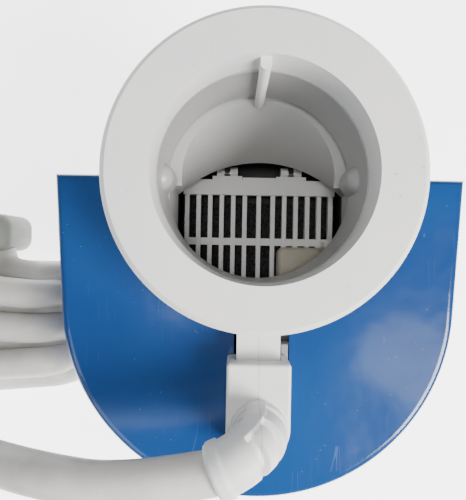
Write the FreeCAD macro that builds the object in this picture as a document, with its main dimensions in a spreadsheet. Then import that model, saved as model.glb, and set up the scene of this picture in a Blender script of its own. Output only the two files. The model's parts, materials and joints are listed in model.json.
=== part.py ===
"""Pump water filter: a drop-in, water-tight box pump that draws water down through a round collar.

Water falls through the white collar and tube, down a chute and through a hinged strainer grate, then
through a foam block into a small motor pump inside the blue D-shaped housing, and leaves by a spigot at
the back. A moulded plug on the housing's front carries the mains lead, which lies in a loose hank.

The frame: +Z up, the origin on the floor under the collar's axis, +Y towards the flat back, millimetres.
"""
import FreeCAD, Part
import math
import os
import re

import Sketcher

doc = FreeCAD.newDocument("pump_water_filter")
sheet = doc.addObject("Spreadsheet::Sheet", "Dimensions")
V = FreeCAD.Vector

# ---------------------------------------------------------------- driving dimensions
DIMENSIONS = [
    # collar and tube
    ("ring_top", 80.0, "top of the collar above the floor"),
    ("ring_outer", 38.8, "outer radius of the collar's flange"),
    ("bore", 27.0, "radius of the collar's opening and of the tube"),
    ("ring_thick", 5.0, "thickness of the collar's flange"),
    ("ring_chamfer", 1.4, "chamfer round the flange's top edge"),
    ("neck_deep", 10.0, "depth of the collar's bore, down to the tube's edge"),
    ("step", 0.2, "how far the tube's edge stands in from the collar's bore"),
    ("tube_wall", 2.3, "wall of the inlet tube"),
    ("skirt_wall", 2.2, "wall of the collar's skirt round the tube"),
    ("skirt_deep", 7.0, "depth of that skirt"),
    ("finger_reach", 3.0, "how far a snap finger stands in from the bore"),
    ("finger_wide", 2.7, "width of a snap finger"),
    ("finger_top_gap", 2.0, "from the collar's top down to a finger's top"),
    # housing
    ("house_top", 60.0, "top face of the blue housing above the floor"),
    ("house_round", 54.7, "radius of the housing's round front"),
    ("house_centre", 34.6, "from the flat back to the centre of that radius"),
    ("house_back", 57.0, "half the width of the flat back"),
    ("house_flat", 1.8, "how far the flat back stands behind the collar's axis"),
    ("house_wall", 2.5, "wall of the housing"),
    ("house_fillet", 2.4, "rounding of the housing's top edge"),
    ("foot_tall", 3.0, "height of the rubber feet below the base plate"),
    ("foot_round", 6.0, "radius of a rubber foot"),
    ("base_thick", 3.0, "thickness of the base plate"),
    ("gasket_thick", 1.0, "thickness of the gasket on the base plate"),
    ("gasket_wide", 2.0, "width of the gasket"),
    ("slot_left", 6.4, "left side of the slot in the top face, from the middle"),
    ("slot_right", 8.8, "right side of the slot"),
    ("slot_front", 57.0, "front end of the slot"),
    ("slip", 0.3, "clearance between parts that stand side by side"),
    ("screw_shank", 1.5, "radius of a base screw's shank"),
    ("screw_head", 2.8, "radius of a base screw's head"),
    ("screw_head_tall", 1.8, "height of that head"),
    ("screw_bite", 9.0, "how far a base screw goes into its boss"),
    ("boss_round", 3.8, "radius of a screw boss"),
    ("boss_back_x", 51.6, "half the spacing of the two rear bosses"),
    ("boss_back_y", 7.0, "from the flat back to the rear bosses"),
    ("boss_front_x", 36.0, "half the spacing of the two front bosses"),
    ("boss_front_y", 66.0, "from the flat back to the front bosses"),
    # sump and chamber under the tube
    ("sump_top", 27.0, "top of the black sump, where the white chamber starts"),
    ("well_x", 2.0, "how far the well's middle is to the right of the collar's axis"),
    ("well_back", 6.5, "how far the well's straight sides run behind the axis"),
    ("sump_half", 28.9, "half the sump's inner width"),
    ("sump_bulge", 17.0, "how far the sump's inner wall bulges behind the flat back"),
    ("sump_wall", 2.0, "wall of the sump and the chamber"),
    ("sump_front", 40.0, "from the tube's axis to the sump's inner front wall"),
    ("roof_under", 49.0, "underside of the chamber's roof, at the tube's mouth"),
    ("chute_half", 28.5, "half the width of the chute's lower edge"),
    ("throat_half", 22.6, "half the width of the chute's upper edge"),
    ("chute_apex", 11.8, "how far the chute's lower edge stands behind the axis"),
    ("foam_tall", 6.0, "height of the foam block"),
    # grate and float
    ("grate_half", 27.4, "half the grate's width"),
    ("grate_top", 20.0, "top of the grate's bars"),
    ("bar_deep", 2.6, "depth of a grate bar"),
    ("bar_wide", 1.6, "width of a grate bar"),
    ("bar_step", 4.2, "spacing of the grate's bars"),
    ("bar_middle_gap", 0.9, "extra gap each side of the middle bar"),
    ("grate_back", 6.8, "rear edge of the grate's top bar"),
    ("head_bar", 5.5, "width of the grate's top bar"),
    ("cross_back", 14.3, "rear edge of the crossbar"),
    ("cross_wide", 2.6, "width of the crossbar"),
    ("grate_front", 37.0, "front edge of the grate"),
    ("hinge_back", 9.6, "from the tube's axis to the grate's hinge axis"),
    ("hinge_height", 18.2, "height of the grate's hinge axis"),
    ("hinge_rod", 1.0, "radius of the hinge rod"),
    ("hinge_play", 0.06, "radial clearance of a turning pin or shaft"),
    ("knuckle", 2.1, "outer radius of a hinge knuckle"),
    ("lug_half", 5.4, "half the width of a hinge lug"),
    ("lug_x", 11.6, "from the middle to a hinge lug's middle"),
    ("knuckle_wide", 2.7, "width of one knuckle"),
    ("knuckle_x", 2.4, "from a lug's middle to a knuckle's middle"),
    ("float_left", 8.6, "left end of the float"),
    ("float_right", 25.6, "right end of the float's body"),
    ("float_back", 17.4, "rear side of the float"),
    ("float_front", 29.4, "front side of the float"),
    ("float_lift", 1.2, "gap between the grate and the float"),
    ("float_tall", 6.0, "height of the float"),
    ("float_pin", 0.8, "radius of the float's pin"),
    # pump
    ("pump_height", 22.0, "height of the pump's axis"),
    ("volute_round", 14.5, "outer radius of the volute"),
    ("volute_wall", 2.0, "wall of the volute"),
    ("volute_back", 49.0, "from the tube's axis to the volute's rear face"),
    ("volute_deep", 11.0, "depth of the volute"),
    ("cover_thick", 2.4, "thickness of the volute's cover"),
    ("eye", 4.5, "radius of the volute's eye"),
    ("port_height", 15.0, "height of the sump's port"),
    ("port", 4.0, "radius of the sump's port"),
    ("duct_wall", 1.5, "wall of the suction duct"),
    ("impeller_round", 11.0, "radius of the impeller"),
    ("shaft", 1.5, "radius of the motor shaft"),
    ("motor_round", 13.6, "outer radius of the motor can"),
    ("motor_long", 19.0, "length of the motor can"),
    ("motor_wall", 1.0, "wall of the motor can"),
    ("stator_bore", 8.2, "inner radius of the stator"),
    ("rotor_round", 7.6, "radius of the rotor magnet"),
    ("stator_long", 10.0, "length of the stator"),
    # outlet
    ("outlet_x", 41.5, "from the middle to the outlet's axis"),
    ("outlet_height", 31.0, "height of the outlet's axis"),
    ("outlet_round", 5.4, "outer radius of the outlet pipe"),
    ("outlet_wall", 1.5, "wall of the outlet pipe"),
    ("outlet_bend", 9.0, "centre-line radius of the outlet pipe's bend"),
    ("spigot_round", 6.5, "outer radius of the hose spigot"),
    ("spigot_long", 15.0, "length of the hose spigot behind the flat back"),
    ("spigot_flange", 9.5, "radius of the spigot's flange"),
    ("flange_thick", 2.0, "thickness of that flange"),
    # power socket, plug and lead
    ("socket_half", 5.7, "half the socket's width"),
    ("socket_top", 66.5, "top of the socket"),
    ("socket_under", 61.9, "underside of the socket where it stands clear of the housing"),
    ("socket_front", 58.0, "front end of the socket"),
    ("pin_round", 0.8, "radius of a contact pin"),
    ("pin_long", 5.0, "how far a contact pin stands out of the socket"),
    ("plug_half", 8.2, "half the plug's width"),
    ("plug_top", 71.0, "top of the plug"),
    ("plug_under", 60.4, "underside of the plug"),
    ("plug_back", 47.3, "from the tube's axis to the plug's open end"),
    ("plug_front", 72.0, "from the tube's axis to the plug's closed end"),
    ("plug_corner", 8.0, "radius of the plug's right front corner"),
    ("plug_corner_left", 3.0, "radius of the plug's left front corner"),
    ("relief_y", 63.6, "from the tube's axis to the bend relief's root"),
    ("relief_round", 6.4, "radius of the bend relief"),
    ("relief_rib", 7.3, "radius of the bend relief's first rib"),
    ("relief_bend", 9.0, "centre-line radius of the bend relief"),
    ("relief_stub", 3.0, "straight length of the bend relief at the plug"),
    ("relief_sleeve", 2.7, "straight length of the bend relief at the lead"),
    ("relief_turn", 26.0, "angle of the bend relief forward of straight left, in degrees"),
    ("lead_round", 5.0, "radius of the mains lead"),
    ("hank_left", 196.0, "far end of the hank"),
    ("hank_right", 58.4, "end of the hank beside the housing"),
    ("hank_front", 88.0, "front side of the hank"),
    ("hank_back", 21.0, "rear side of the hank"),
    ("hank_tall", 36.0, "height of the hank"),
    ("mains_rear", 89.4, "from the middle to the mains plug's rear end"),
    ("mains_long", 36.0, "length of the mains plug's body"),
    ("mains_tall", 20.0, "height of the mains plug's body"),
    ("mains_pin", 2.3, "radius of a mains pin"),
    ("mains_pin_long", 19.0, "length of a mains pin"),
]
dims = {alias: value for alias, value, _ in DIMENSIONS}
for row, (alias, value, note) in enumerate(DIMENSIONS, start=1):
    sheet.set(f"A{row}", alias)
    sheet.set(f"B{row}", str(value))
    sheet.set(f"C{row}", note)
    sheet.setAlias(f"B{row}", alias)
doc.recompute()

WORDS = re.compile(r"[a-z_]+[a-z]")


def linked(text):
    """An expression on the sheet's aliases, ready to bind."""
    return WORDS.sub(lambda m: "Dimensions." + m[0] if m[0] in dims else m[0], str(text))


def size(text):
    """The value of such an expression, worked out in a spare cell of the sheet."""
    sheet.set("E1", f"={text}")
    sheet.recompute()
    return float(sheet.get("E1"))


def bind(item, **sizes):
    """Binds properties to expressions. A property's dots are written as double underscores."""
    for name, text in sizes.items():
        item.setExpression(name.replace("__", "."), linked(text))
    return item


# ---------------------------------------------------------------- primitives and booleans
def box(name, x, y, z):
    """A block between two expressions along each axis."""
    item = doc.addObject("Part::Box", name)
    return bind(
        item,
        Length=f"({x[1]})-({x[0]})",
        Width=f"({y[1]})-({y[0]})",
        Height=f"({z[1]})-({z[0]})",
        Placement__Base__x=x[0],
        Placement__Base__y=y[0],
        Placement__Base__z=z[0],
    )


TURNS = {
    "x": FreeCAD.Rotation(V(0, 1, 0), 90),
    "y": FreeCAD.Rotation(V(1, 0, 0), -90),
    "z": FreeCAD.Rotation(),
}


def rod(name, axis, radius, span, x="0", y="0", z="0"):
    """A cylinder along an axis between two expressions, through the other two coordinates."""
    item = doc.addObject("Part::Cylinder", name)
    item.Placement.Rotation = TURNS[axis]
    places = {"x": x, "y": y, "z": z}
    places[axis] = span[0]
    return bind(
        item,
        Radius=radius,
        Height=f"({span[1]})-({span[0]})",
        Placement__Base__x=places["x"],
        Placement__Base__y=places["y"],
        Placement__Base__z=places["z"],
    )


def fuse(name, *items):
    item = doc.addObject("Part::MultiFuse", name)
    item.Shapes = list(items)
    item.Refine = True
    return item


def cut(name, base, *tools):
    item = doc.addObject("Part::Cut", name)
    item.Base = base
    item.Tool = tools[0] if len(tools) == 1 else fuse(name + "_tools", *tools)
    item.Refine = True
    return item


def common(name, *items):
    item = doc.addObject("Part::MultiCommon", name)
    item.Shapes = list(items)
    return item


def ring(name, axis, outer, inner, span, **where):
    """A tube: a cylinder with a bore."""
    return cut(
        name,
        rod(name + "_body", axis, outer, span, **where),
        rod(name + "_bore", axis, inner, (f"{span[0]}-1", f"{span[1]}+1"), **where),
    )


NODES = []


def node(name, item):
    """Registers a sub-part: its Label is the name of its file."""
    item.Label = name
    NODES.append(item)
    return item


# ---------------------------------------------------------------- sketches
def plane_of(body, role):
    return next(f for f in body.Origin.OriginFeatures if f.Role == role)


def d_outline(body, name, inset):
    """The housing's D: a round front, two sides that run out to the flat back, all moved in by inset."""
    sketch = body.newObject("Sketcher::SketchObject", name)
    sketch.AttachmentSupport = [(plane_of(body, "XY_Plane"), "")]
    sketch.MapMode = "FlatFace"
    radius = dims["house_round"]
    centre = V(0, -dims["house_centre"], 0)
    half = dims["house_back"]
    right, left = V(radius, centre.y, 0), V(-radius, centre.y, 0)
    sketch.addGeometry(
        [
            Part.ArcOfCircle(Part.Circle(centre, V(0, 0, 1), radius), math.pi, 2 * math.pi),
            Part.LineSegment(right, V(half, 0, 0)),
            Part.LineSegment(V(half, 0, 0), V(-half, 0, 0)),
            Part.LineSegment(V(-half, 0, 0), left),
        ],
        False,
    )
    sketch.addConstraint(
        [
            Sketcher.Constraint("Tangent", 0, 2, 1, 1),
            Sketcher.Constraint("Coincident", 1, 2, 2, 1),
            Sketcher.Constraint("Coincident", 2, 2, 3, 1),
            Sketcher.Constraint("Tangent", 3, 2, 0, 1),
            Sketcher.Constraint("PointOnObject", 0, 3, -2),
            Sketcher.Constraint("PointOnObject", 2, 1, -1),
            Sketcher.Constraint("Symmetric", 2, 1, 2, 2, -2),
            Sketcher.Constraint("Radius", 0, radius),
            Sketcher.Constraint("DistanceY", 0, 3, -1, 1, -centre.y),
            Sketcher.Constraint("DistanceX", 2, 2, 2, 1, 2 * half),
        ]
    )
    names = {7: "radius", 8: "centre", 9: "width"}
    for index, label in names.items():
        sketch.renameConstraint(index, label)
    bind(
        sketch,
        Constraints__radius=f"house_round - ({inset})",
        Constraints__centre=f"house_centre - ({inset})",
        Constraints__width=f"2 * (house_back - ({inset}))",
    )
    return sketch


def d_slab(name, inset, span):
    """A D-shaped slab between two heights."""
    body = doc.addObject("PartDesign::Body", name)
    sketch = d_outline(body, name + "_outline", inset)
    pad = body.newObject("PartDesign::Pad", name + "_pad")
    pad.Profile = sketch
    bind(pad, Length=f"({span[1]})-({span[0]})")
    return bind(body, Placement__Base__y=f"house_flat - ({inset})", Placement__Base__z=span[0])


def arc_profile(name, half, apex, height):
    """A closed arc over a chord on the X axis: half wide each way, and apex tall."""
    sketch = doc.addObject("Sketcher::SketchObject", name)
    w, a = size(half), size(apex)
    radius = (w * w + a * a) / (2 * a)
    centre = a - radius
    start = math.atan2(-centre, w)
    sketch.addGeometry(
        [
            Part.ArcOfCircle(Part.Circle(V(0, centre, 0), V(0, 0, 1), radius), start, math.pi - start),
            Part.LineSegment(V(-w, 0, 0), V(w, 0, 0)),
        ],
        False,
    )
    sketch.addConstraint(
        [
            Sketcher.Constraint("Coincident", 0, 2, 1, 1),
            Sketcher.Constraint("Coincident", 0, 1, 1, 2),
            Sketcher.Constraint("PointOnObject", 1, 1, -1),
            Sketcher.Constraint("Symmetric", 1, 1, 1, 2, -1, 1),
            Sketcher.Constraint("DistanceX", 1, 1, 1, 2, 2 * w),
            Sketcher.Constraint("DistanceY", 0, 3, -1, 1, -centre),
        ]
    )
    sketch.renameConstraint(4, "chord")
    sketch.renameConstraint(5, "centre")
    return bind(
        sketch,
        Constraints__chord=f"2 * ({half})",
        Constraints__centre=f"(({half}) * ({half}) - ({apex}) * ({apex})) / (2 * ({apex}))",
        Placement__Base__x="well_x",
        Placement__Base__z=height,
    )


def loft(name, *profiles):
    item = doc.addObject("Part::Loft", name)
    item.Sections = list(profiles)
    item.Solid = True
    item.Ruled = True
    return item


base_top = "foot_tall + base_thick"
shell_under = f"{base_top} + gasket_thick"
tube_outer = "bore + tube_wall"

# ---------------------------------------------------------------- blue housing
outside = d_slab("housing_outside", "0", (shell_under, "house_top"))
doc.recompute()
top_edges = [
    f"Edge{i}"
    for i, edge in enumerate(outside.Shape.Edges, start=1)
    if min(v.Z for v in edge.Vertexes) > size("house_top") - 0.01
]
pad_of_outside = outside.Tip
rounding = outside.newObject("PartDesign::Fillet", "housing_rounding")
rounding.Base = (pad_of_outside, top_edges)
bind(rounding, Radius="house_fillet")
outside.Tip = rounding
inside = d_slab("housing_inside", "house_wall", (f"{shell_under} - 1", "house_top - house_wall"))

BOSSES = [("boss_back_x", "boss_back_y"), ("boss_front_x", "boss_front_y")]
BOSS_PLACES = [(f"{sign} * {x}", f"house_flat - {y}") for x, y in BOSSES for sign in (-1, 1)]
bosses = [
    rod(f"boss_{i}", "z", "boss_round", (shell_under, "house_top - house_wall / 2"), x=x, y=y)
    for i, (x, y) in enumerate(BOSS_PLACES)
]
pilots = [
    rod(
        f"pilot_{i}",
        "z",
        "screw_shank",
        (f"{shell_under} - 1", f"{shell_under} + screw_bite + 1"),
        x=x,
        y=y,
    )
    for i, (x, y) in enumerate(BOSS_PLACES)
]
skin = fuse("housing_skin", cut("housing_hollow", outside, inside), *bosses)
seat = "sump_half + sump_wall + slip"
opening_z = ("0", "roof_under + sump_wall + slip")
slot_z = ("house_top - house_wall - 1", "house_top + 1")
node(
    "blue_housing",
    cut(
        "housing_cut",
        common("housing_trim", skin, d_slab("housing_limit", "0", ("0", "house_top"))),
        box(
            "back_opening",
            (f"well_x - ({seat})", f"well_x + {seat}"),
            ("-house_wall * 2", "house_flat + 1"),
            opening_z,
        ),
        rod("tube_hole", "z", f"{tube_outer} + slip", ("roof_under", "house_top + 1")),
        box("slot", ("-slot_left", "slot_right"), ("-slot_front", "-20"), slot_z),
        rod(
            "outlet_hole",
            "y",
            "outlet_round + slip",
            ("-house_wall * 2", "house_flat + 1"),
            x="outlet_x",
            z="outlet_height",
        ),
        *pilots,
    ),
)

# ---------------------------------------------------------------- base plate, gasket, screws and feet
counterbores = [
    rod(
        f"sink_{i}",
        "z",
        "screw_head + slip",
        ("foot_tall - 1", "foot_tall + screw_head_tall + 0.1"),
        x=x,
        y=y,
    )
    for i, (x, y) in enumerate(BOSS_PLACES)
]
shank_holes = [
    rod(f"shank_hole_{i}", "z", "screw_shank + 0.15", ("foot_tall - 1", f"{base_top} + 1"), x=x, y=y)
    for i, (x, y) in enumerate(BOSS_PLACES)
]
node(
    "base_plate",
    cut("base_cut", d_slab("base_slab", "0", ("foot_tall", base_top)), *counterbores, *shank_holes),
)
node(
    "housing_gasket",
    cut(
        "gasket_cut",
        d_slab("gasket_slab", "0.2", (base_top, shell_under)),
        d_slab("gasket_hole", "gasket_wide", (f"{base_top} - 1", f"{shell_under} + 1")),
        box(
            "gasket_gap",
            (f"well_x - ({seat})", f"well_x + {seat}"),
            ("-5", "house_flat + 1"),
            (base_top, f"{shell_under} + 1"),
        ),
    ),
)
screws = [
    fuse(
        f"screw_{i}",
        rod(
            f"screw_head_{i}",
            "z",
            "screw_head",
            ("foot_tall + 0.05", "foot_tall + screw_head_tall"),
            x=x,
            y=y,
        ),
        rod(
            f"screw_shank_{i}",
            "z",
            "screw_shank",
            ("foot_tall + 1", f"{shell_under} + screw_bite"),
            x=x,
            y=y,
        ),
    )
    for i, (x, y) in enumerate(BOSS_PLACES)
]
node("base_screws", fuse("base_screw_group", *screws))
FEET = [("-40", "-12"), ("40", "-12"), ("-26", "-72"), ("26", "-72")]
feet = [
    rod(f"foot_{i}", "z", "foot_round", ("0", "foot_tall"), x=x, y=y) for i, (x, y) in enumerate(FEET)
]
middle_foot = fuse(
    "middle_foot",
    rod("middle_foot_pad", "z", "foot_round", ("0", "foot_tall"), x="0", y="0"),
    common(
        "middle_foot_riser",
        rod("middle_foot_rod", "z", "foot_round", ("0", f"{base_top} + 0.1"), x="0", y="0"),
        box(
            "middle_foot_half",
            ("-foot_round", "foot_round"),
            ("house_flat + slip", "foot_round"),
            ("0", f"{base_top} + 0.1"),
        ),
    ),
)
node("rubber_feet", fuse("foot_group", middle_foot, *feet))

# ---------------------------------------------------------------- sump: black tray under the grate
def arched_box(name, half, apex, front, back, span):
    """A block about the well's middle, with an arc bulging behind it."""
    low = bind(
        arc_profile(name + "_arc_low", half, f"({apex}) - ({back})", span[0]),
        Placement__Base__y=back,
    )
    high = bind(
        arc_profile(name + "_arc_high", half, f"({apex}) - ({back})", span[1]),
        Placement__Base__y=back,
    )
    block = box(name + "_box", (f"well_x - ({half})", f"well_x + {half}"), (f"-({front})", back), span)
    return fuse(name, block, loft(name + "_arc", low, high))


sump_under = f"{base_top} + 0.1"
sump_out = "sump_half + sump_wall"
bulge_out = "sump_bulge + sump_wall"
sump_z = (sump_under, "sump_top")
sump_room_z = (f"{sump_under} + sump_wall", "sump_top + 1")
LUG_MIDDLES = ("well_x - lug_x", "well_x + lug_x")
ears = [
    box(
        f"ear_{i}",
        (f"{x} - 0.75", f"{x} + 0.75"),
        ("hinge_back - 0.3", "hinge_back + 1.6"),
        (sump_under, "hinge_height + 1.6"),
    )
    for i, x in enumerate(LUG_MIDDLES)
]
well_room = ("well_x - sump_half + slip", "well_x + sump_half - slip")
node(
    "sump_tray",
    cut(
        "sump_cut",
        fuse(
            "sump_walls",
            cut(
                "sump_shell",
                arched_box(
                    "sump_outer",
                    sump_out,
                    bulge_out,
                    "sump_front + sump_wall",
                    "well_back + sump_wall / 2",
                    sump_z,
                ),
                arched_box("sump_inner", "sump_half", "sump_bulge", "sump_front", "well_back", sump_room_z),
            ),
            *ears,
        ),
        rod("sump_port", "y", "port", ("-sump_front - sump_wall - 1", "-sump_front + 1"), z="port_height"),
        rod(
            "ear_bore",
            "x",
            "hinge_rod",
            ("-lug_x - 4", "well_x + lug_x + 4"),
            y="hinge_back",
            z="hinge_height",
        ),
    ),
)
node(
    "foam_block",
    box(
        "foam",
        well_room,
        ("-sump_front + 1", "-1"),
        (f"{sump_under} + sump_wall", f"{sump_under} + sump_wall + foam_tall"),
    ),
)

# ---------------------------------------------------------------- chamber: hood and chute over the sump
chute_outer = loft(
    "chute_outer",
    arc_profile("chute_outer_low", sump_out, bulge_out, "sump_top"),
    bind(
        arc_profile("chute_outer_high", tube_outer, tube_outer, "roof_under + sump_wall"),
        Placement__Base__x="0",
    ),
)
chute_inner = loft(
    "chute_inner",
    arc_profile("chute_inner_low", "chute_half", "chute_apex", "sump_top"),
    bind(arc_profile("chute_inner_high", "throat_half", "bore", "roof_under"), Placement__Base__x="0"),
)
chamber_block = box(
    "chamber_block",
    (f"well_x - ({sump_out})", f"well_x + {sump_out}"),
    ("-sump_front - sump_wall", "0"),
    ("sump_top", "roof_under + sump_wall"),
)
chamber_room = box(
    "chamber_room",
    ("well_x - chute_half", "well_x + chute_half"),
    ("-sump_front", "0.5"),
    ("sump_top - 1", "roof_under"),
)
mouth_span = ("roof_under - 1", "roof_under + sump_wall + 1")
chamber_mouth = rod("chamber_mouth", "z", "bore + 0.6", mouth_span, x="0.8")
chute_hollow = cut("chute_hollow", chute_outer, chute_inner)
chamber_solid = fuse("chamber_solid", chamber_block, chute_hollow)
node(
    "inlet_chamber",
    cut("chamber_mouth_cut", cut("chamber_room_cut", chamber_solid, chamber_room), chamber_mouth),
)
tube_span = ("roof_under + sump_wall", "ring_top - neck_deep")
plain_tube = ring("tube", "z", tube_outer, "bore - step", tube_span)
shoulders = []
for side in (-1, 1):
    x = f"{side} * (bore + 1.2)"
    post = rod(
        f"shoulder_{side + 1}",
        "z",
        "4.2",
        ("roof_under + sump_wall", "roof_under + 9"),
        x=x,
        y="1.5",
    )
    cap = doc.addObject("Part::Sphere", f"shoulder_cap_{side + 1}")
    bind(
        cap,
        Radius="4.2",
        Placement__Base__x=x,
        Placement__Base__y="1.5",
        Placement__Base__z="roof_under + 9",
    )
    shoulders.append(
        common(
            f"shoulder_trim_{side + 1}",
            fuse(f"shoulder_solid_{side + 1}", post, cap),
            rod(f"shoulder_limit_{side + 1}", "z", "bore", ("0", "ring_top")),
        )
    )
node("inlet_tube", fuse("tube_and_shoulders", plain_tube, *shoulders))

# ---------------------------------------------------------------- collar ring with its snap fingers
flange = rod("flange_disc", "z", "ring_outer", ("ring_top - ring_thick", "ring_top - ring_chamfer"))
flange_top = doc.addObject("Part::Cone", "flange_top")
bind(
    flange_top,
    Radius1="ring_outer",
    Radius2="ring_outer - ring_chamfer",
    Height="ring_chamfer",
    Placement__Base__z="ring_top - ring_chamfer",
)
skirt = ring(
    "collar_skirt",
    "z",
    f"{tube_outer} + 0.1 + skirt_wall",
    f"{tube_outer} + 0.1",
    ("ring_top - ring_thick - skirt_deep", "ring_top - neck_deep + 0.5"),
)
neck_span = ("ring_top - neck_deep + 0.01", "ring_top - ring_thick + 0.5")
collar_neck = rod("collar_neck", "z", f"{tube_outer} + 0.1 + skirt_wall", neck_span)
finger_span = ("roof_under - 0.6", "ring_top - finger_top_gap")
finger_middle = "bore - finger_reach + finger_wide / 2"
finger_stem = rod("finger_round", "z", "finger_wide / 2", finger_span, y=finger_middle)
finger_web = box(
    "finger_web",
    ("-finger_wide / 2", "finger_wide / 2"),
    (finger_middle, "bore - step - 0.3"),
    finger_span,
)
finger_head = box(
    "finger_head",
    ("-finger_wide / 2", "finger_wide / 2"),
    (finger_middle, "bore + 0.5"),
    ("ring_top - neck_deep + 0.5", "ring_top - finger_top_gap"),
)
collar_bore = rod("collar_bore", "z", "bore", ("0", "ring_top + 1"))
bored_collar = cut("collar_bored", fuse("collar_solid", flange, flange_top, collar_neck), collar_bore)
node("collar_ring", fuse("collar", bored_collar, skirt, finger_stem, finger_web, finger_head))


def rounded_block(name, block, upright, top):
    """A block with its upright edges and its top edges rounded."""
    doc.recompute()
    edges = list(enumerate(block.Shape.Edges, start=1))
    high = block.Shape.BoundBox.ZMax
    low = block.Shape.BoundBox.ZMin
    item = doc.addObject("Part::Fillet", name)
    item.Base = block
    item.Edges = [(i, upright, upright) for i, e in edges if low + 0.1 < e.CenterOfMass.z < high - 0.1]
    doc.recompute()
    crown = doc.addObject("Part::Fillet", name + "_crown")
    crown.Base = item
    crown.Edges = [
        (i, top, top) for i, e in enumerate(item.Shape.Edges, start=1) if e.BoundBox.ZMin > high - 0.1
    ]
    return crown


# ---------------------------------------------------------------- strainer grate, its hinge and the float
bars = []
bar_under = "grate_top - bar_deep"
for i in range(-6, 7):
    shift = 0 if i == 0 else math.copysign(1, i)
    middle = f"well_x + {i} * bar_step + {shift} * bar_middle_gap"
    bars.append(
        box(
            f"bar_{i + 6}",
            (f"{middle} - bar_wide / 2", f"{middle} + bar_wide / 2"),
            ("-grate_front", "grate_back - head_bar + 0.5"),
            (bar_under, "grate_top"),
        )
    )
grate_x = ("well_x - grate_half", "well_x + grate_half")
frame_x = ("well_x - grate_half + 1", "well_x + grate_half - 1")
head = box(
    "head_bar_block",
    grate_x,
    ("grate_back - head_bar", "grate_back"),
    (bar_under, "grate_top + 0.8"),
)
cross = box(
    "cross_block",
    frame_x,
    ("-cross_back - cross_wide", "-cross_back"),
    (bar_under, "grate_top - 0.5"),
)
toe = box("toe_block", frame_x, ("-grate_front", "-grate_front + 2.2"), (bar_under, "grate_top"))
web = box(
    "head_web",
    ("well_x - 6", "well_x + 6"),
    ("grate_back - 1", "grate_back + 1"),
    (bar_under, "grate_top - 0.2"),
)
doc.recompute()
head_round = doc.addObject("Part::Fillet", "head_bar_rounding")
head_round.Base = head
head_round.Edges = [
    (i, 3.0, 3.0)
    for i, edge in enumerate(head.Shape.Edges, start=1)
    if edge.BoundBox.ZLength > 1 and edge.CenterOfMass.y > dims["grate_back"] - 0.1
]
lugs, knuckles = [], []
for side, lug_middle in zip(("left", "right"), LUG_MIDDLES):
    lugs.append(
        box(
            f"lug_{side}",
            (f"{lug_middle} - lug_half", f"{lug_middle} + lug_half"),
            ("grate_back - 1", "hinge_back - 1.4"),
            ("hinge_height - 0.8", "grate_top + 0.2"),
        )
    )
    for k, sign in enumerate((-1, 1)):
        middle = f"{lug_middle} + {sign} * knuckle_x"
        knuckles.append(
            rod(
                f"knuckle_{side}_{k}",
                "x",
                "knuckle",
                (f"{middle} - knuckle_wide / 2", f"{middle} + knuckle_wide / 2"),
                y="hinge_back",
                z="hinge_height",
            )
        )
hinge_bore = rod(
    "hinge_bore",
    "x",
    "hinge_rod + hinge_play",
    ("-20", "24"),
    y="hinge_back",
    z="hinge_height",
)
float_low = "grate_top + float_lift"
float_axis_x = "float_right + 0.9"
float_axis_z = f"{float_low} + 2.2"
posts = [
    box(
        f"post_{i}",
        ("float_right - 0.7", "well_x + grate_half"),
        (low, high),
        ("grate_top - 1", f"{float_axis_z} + 1.6"),
    )
    for i, (low, high) in enumerate(
        (("-float_back + 0.2", "-float_back + 2"), ("-float_front - 2", "-float_front - 0.2"))
    )
]
post_feet = box(
    "post_foot",
    ("float_right - 0.7", "well_x + grate_half - 0.2"),
    ("-float_front - 2", "-float_back + 2"),
    (bar_under, "grate_top"),
)
node(
    "strainer_grate",
    cut(
        "grate_cut",
        fuse("grate_body", head_round, web, cross, toe, post_feet, *posts, *bars, *lugs, *knuckles),
        hinge_bore,
        rod(
            "float_pin_seat",
            "y",
            "float_pin",
            ("-float_front - 3", "-float_back + 3"),
            x=float_axis_x,
            z=float_axis_z,
        ),
    ),
)
hinge_pins = [
    rod(f"hinge_pin_{i}", "x", "hinge_rod", (f"{x} - 3.7", f"{x} + 3.7"), y="hinge_back", z="hinge_height")
    for i, x in enumerate(LUG_MIDDLES)
]
node("grate_hinge_rod", fuse("hinge_pin_group", *hinge_pins))
node(
    "float_pin",
    rod(
        "float_pin_body",
        "y",
        "float_pin",
        ("-float_front - 2", "-float_back + 2"),
        x=float_axis_x,
        z=float_axis_z,
    ),
)
float_high = f"{float_low} + float_tall"
float_body = box(
    "float_block",
    ("float_left + 2.4", "float_right + 1.4"),
    ("-float_front", "-float_back"),
    (float_low, f"{float_low} + 4.4"),
)
float_bulk = box(
    "float_bulk",
    ("float_left", "float_right - 1.2"),
    ("-float_front", "-float_back"),
    (float_low, float_high),
)
float_bulk = rounded_block("float_rounding", float_bulk, 2.5, 1.5)
node(
    "level_float",
    cut(
        "float_cut",
        fuse("float_solid", float_body, float_bulk),
        rod(
            "float_bore",
            "y",
            "float_pin + hinge_play",
            ("-float_front - 1", "-float_back + 1"),
            x=float_axis_x,
            z=float_axis_z,
        ),
    ),
)

# ---------------------------------------------------------------- suction duct and volute
duct_from, duct_to = "-sump_front - sump_wall", "-volute_back"


def duct(name, wall):
    """A short oblique pipe from the sump's port up to the volute's eye."""
    low = Part.Wire(
        Part.Circle(
            V(0, size(duct_from), size("port_height")),
            V(0, 1, 0),
            size(f"port + {wall}"),
        ).toShape()
    )
    high = Part.Wire(
        Part.Circle(V(0, size(duct_to), size("pump_height")), V(0, 1, 0), size(f"port + {wall}")).toShape()
    )
    return Part.makeLoft([low, high], True, True)


suction = doc.addObject("Part::Feature", "suction")
suction.Shape = duct("outer", "duct_wall").cut(duct("inner", "0"))
node("suction_duct", suction)

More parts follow.
